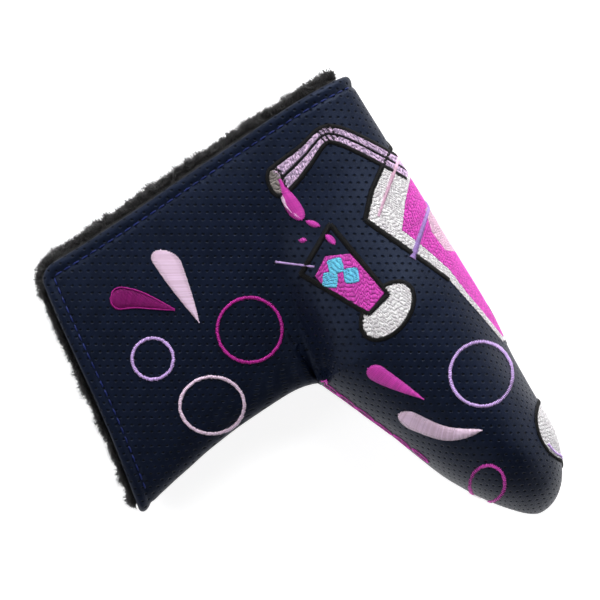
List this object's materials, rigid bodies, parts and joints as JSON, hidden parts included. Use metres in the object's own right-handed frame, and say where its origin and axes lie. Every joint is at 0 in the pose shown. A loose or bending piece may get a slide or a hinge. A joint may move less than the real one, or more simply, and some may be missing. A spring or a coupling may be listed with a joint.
{
  "type": "putter head cover",
  "caption": "Padded, plush-lined boot that covers a blade putter's head, with a head pocket, an open neck and two flaps that fold apart.",
  "frame": {"origin": "under the middle of the whole cover, on the surface that it lies on", "axes": "+Z out of the embroidered front panel, +Y along the sole edge from the heel edge to the toe, +X from the sole edge along the neck"},
  "size_m": [0.1306, 0.151, 0.0409],
  "materials": {
    "navy_sheet": "perforated navy faux leather with a soft sheen",
    "foam": "soft foam interlining",
    "plush": "charcoal plush pile",
    "blue_thread": "blue sewing thread",
    "pouch_cloth": "woven pouch cloth",
    "magnet": "nickel-plated disc",
    "magenta_thread": "satin and fill stitch in magenta",
    "pale_pink_thread": "satin stitch in pale pink",
    "lilac_thread": "satin stitch in lilac",
    "black_thread": "satin stitch in black",
    "cyan_thread": "fill stitch in cyan",
    "off_white_thread": "fill stitch in off-white"
  },
  "bodies": {
    "pocket": {"outer_pocket": "navy_sheet", "foam_front_pocket": "foam", "foam_back_pocket": "foam", "lining_pocket": "plush", "hem_corners": "navy_sheet", "stitches_corners": "blue_thread", "closing_seam": "navy_sheet", "magenta_ring": "magenta_thread", "pink_ring": "pale_pink_thread", "lilac_ring_pocket": "lilac_thread", "magenta_ring_toe": "magenta_thread", "magenta_drop_pocket": "magenta_thread", "pink_drop_pocket": "pale_pink_thread", "straw_fill": "lilac_thread", "straw_outline": "black_thread", "poured_drops": "magenta_thread", "tumbler_outline": "black_thread", "tumbler_drink": "magenta_thread", "ice_cubes": "cyan_thread", "coaster": "off_white_thread", "cup_outline": "black_thread", "cup_wall": "off_white_thread", "cup_drink": "magenta_thread", "crossed_straws": "pale_pink_thread", "toe_disc": "off_white_thread", "oval_row": "magenta_thread"},
    "front_flap": {"outer_front_flap": "navy_sheet", "foam_front_flap": "foam", "lining_front_flap": "plush", "hem_front_flap": "navy_sheet", "stitches_front_flap": "blue_thread", "magnet_front": "magnet", "magnet_pouch_front": "pouch_cloth", "lilac_ring_neck": "lilac_thread", "magenta_drop_neck": "magenta_thread", "pink_drop_neck": "pale_pink_thread"},
    "back_flap": {"outer_back_flap": "navy_sheet", "foam_back_flap": "foam", "lining_back_flap": "plush", "hem_back_flap": "navy_sheet", "stitches_back_flap": "blue_thread", "magnet_back": "magnet", "magnet_pouch_back": "pouch_cloth"}
  },
  "joints": [
    {"name": "front_flap_fold", "type": "hinge", "parent": "pocket", "child": "front_flap", "pos_m": [-0.0588, -0.0725, 0.0228], "axis": [-0.8575, -0.5145, 0], "range_deg": [0, 50], "stiffness_Nm_per_rad": 0.02},
    {"name": "back_flap_fold", "type": "hinge", "parent": "pocket", "child": "back_flap", "pos_m": [-0.0588, -0.0725, 0], "axis": [0.8575, 0.5145, 0], "range_deg": [0, 50], "stiffness_Nm_per_rad": 0.02}
  ]
}
